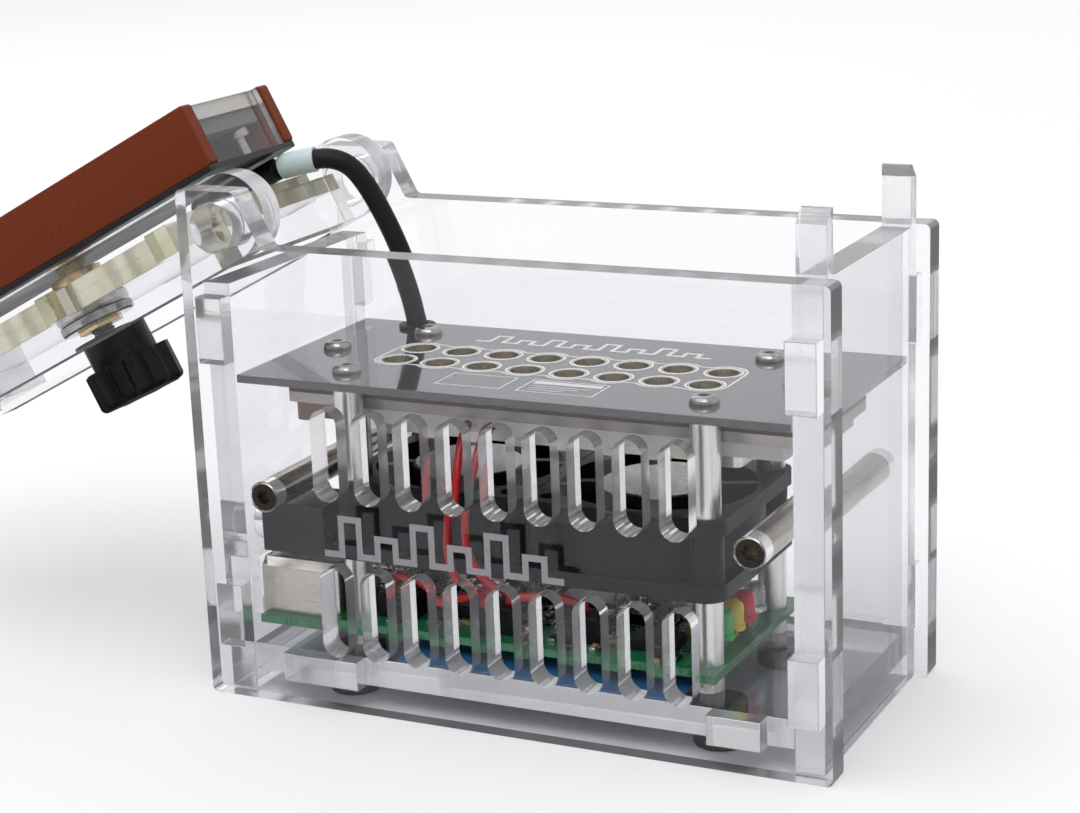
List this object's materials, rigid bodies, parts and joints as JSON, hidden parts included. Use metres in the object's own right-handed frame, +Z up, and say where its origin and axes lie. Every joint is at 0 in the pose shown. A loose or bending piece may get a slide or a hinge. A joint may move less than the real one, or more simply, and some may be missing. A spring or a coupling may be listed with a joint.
{
  "type": "thermal cycler",
  "caption": "Bench-top thermal cycler: clear boxed case with vent slots, well block over fans and board, hinged lid with heated plate and pressure knob.",
  "frame": {"origin": "middle of the case's footprint, on the surface it stands on", "axes": "+X towards the end opposite the lid hinge, +Y from the front panel to the back panel, +Z up"},
  "size_m": [0.2251, 0.06, 0.1117],
  "materials": {
    "clear_acrylic": "clear polished sheet",
    "black_rubber": "matt",
    "rod_steel": "turned",
    "aluminium": "turned",
    "dark_gloss": "glossy",
    "screw_steel": "bright",
    "block_aluminium": "brushed",
    "amber_mat": "satin",
    "white_board": "matt",
    "brown_phenolic": "satin",
    "fan_plastic": "satin",
    "silver_label": "foil",
    "board_green": "solder mask",
    "blue_sheet": "satin",
    "socket_metal": "plated",
    "white_plastic": "satin",
    "black_plastic": "satin",
    "green_lens": "clear tinted",
    "yellow_lens": "clear tinted",
    "red_lens": "clear tinted",
    "clear_lens": "clear",
    "can_metal": "satin",
    "cream_ferrite": "matt",
    "red_wire": "satin",
    "brass": "turned",
    "pale_tube": "satin",
    "dark_sheet": "satin",
    "grey_pad": "matt"
  },
  "bodies": {
    "case": {"front_panel": "clear_acrylic", "back_panel": "clear_acrylic", "left_end_panel": "clear_acrylic", "right_end_panel": "clear_acrylic", "base_panel": "clear_acrylic", "rubber_feet": "black_rubber", "hinge_pins": "clear_acrylic", "tie_rods": "rod_steel", "lower_standoffs": "aluminium", "upper_standoffs": "aluminium", "top_plate": "dark_gloss", "plate_screws": "screw_steel", "sample_block": "block_aluminium", "upper_clamp_plate": "block_aluminium", "heater_mat": "amber_mat", "lower_clamp_plate": "block_aluminium", "insulating_board": "white_board", "cutout_block": "brown_phenolic", "left_fan_frame": "fan_plastic", "right_fan_frame": "fan_plastic", "fan_labels": "silver_label", "circuit_board": "board_green", "insulating_sheet": "blue_sheet", "usb_socket": "socket_metal", "usb_tongue": "white_plastic", "power_socket": "black_plastic", "green_lamp": "green_lens", "yellow_lamp": "yellow_lens", "red_lamp": "red_lens", "clear_lamp": "clear_lens", "control_chips": "black_plastic", "capacitors": "can_metal", "wire_plugs": "black_plastic", "choke": "cream_ferrite", "red_wires": "red_wire", "cable_grommet": "black_rubber", "lid_cable": "black_rubber"},
    "lid": {"lid_front_arm": "clear_acrylic", "lid_back_arm": "clear_acrylic", "lid_plate": "clear_acrylic", "lid_heel_rib": "clear_acrylic", "lid_end_rib": "clear_acrylic", "lid_grip": "clear_acrylic", "screw_insert": "brass", "screw_washer": "screw_steel", "cable_label": "pale_tube", "cable_sleeve": "black_rubber"},
    "heater": {"mounting_plate": "dark_sheet", "housing_front_wall": "brown_phenolic", "housing_back_wall": "brown_phenolic", "housing_inner_end": "clear_acrylic", "housing_outer_end": "clear_acrylic", "heated_plate": "block_aluminium", "insulating_pad": "grey_pad", "housing_screws": "screw_steel", "thrust_pad": "brass"},
    "pressure_knob": {"pressure_screw": "screw_steel", "knob": "black_plastic"},
    "left_fan": {"left_fan_rotor": "fan_plastic"},
    "right_fan": {"right_fan_rotor": "fan_plastic"}
  },
  "joints": [
    {"name": "lid_hinge", "type": "hinge", "parent": "case", "child": "lid", "pos_m": [-0.056, 0, 0.0919], "axis": [0, 1, 0], "range_deg": [0, 207.5], "deforming": ["lid_cable"]},
    {"name": "heater_slide", "type": "slide", "parent": "lid", "child": "heater", "axis": [-0.4618, 0, 0.887], "range_m": [0, 0.0015]},
    {"name": "knob_turn", "type": "hinge", "parent": "heater", "child": "pressure_knob", "pos_m": [-0.10479, 0, 0.0665], "axis": [-0.4618, 0, 0.887], "range_deg": [0, 540]},
    {"name": "left_fan_spin", "type": "hinge", "parent": "case", "child": "left_fan", "pos_m": [-0.02, 0, 0.035], "axis": [0, 0, 1], "continuous": true},
    {"name": "right_fan_spin", "type": "hinge", "parent": "case", "child": "right_fan", "pos_m": [0.02, 0, 0.035], "axis": [0, 0, 1], "continuous": true}
  ],
  "couplings": [
    {"joint": "knob_turn", "follows": "heater_slide", "rad_per_m": 6283}
  ]
}
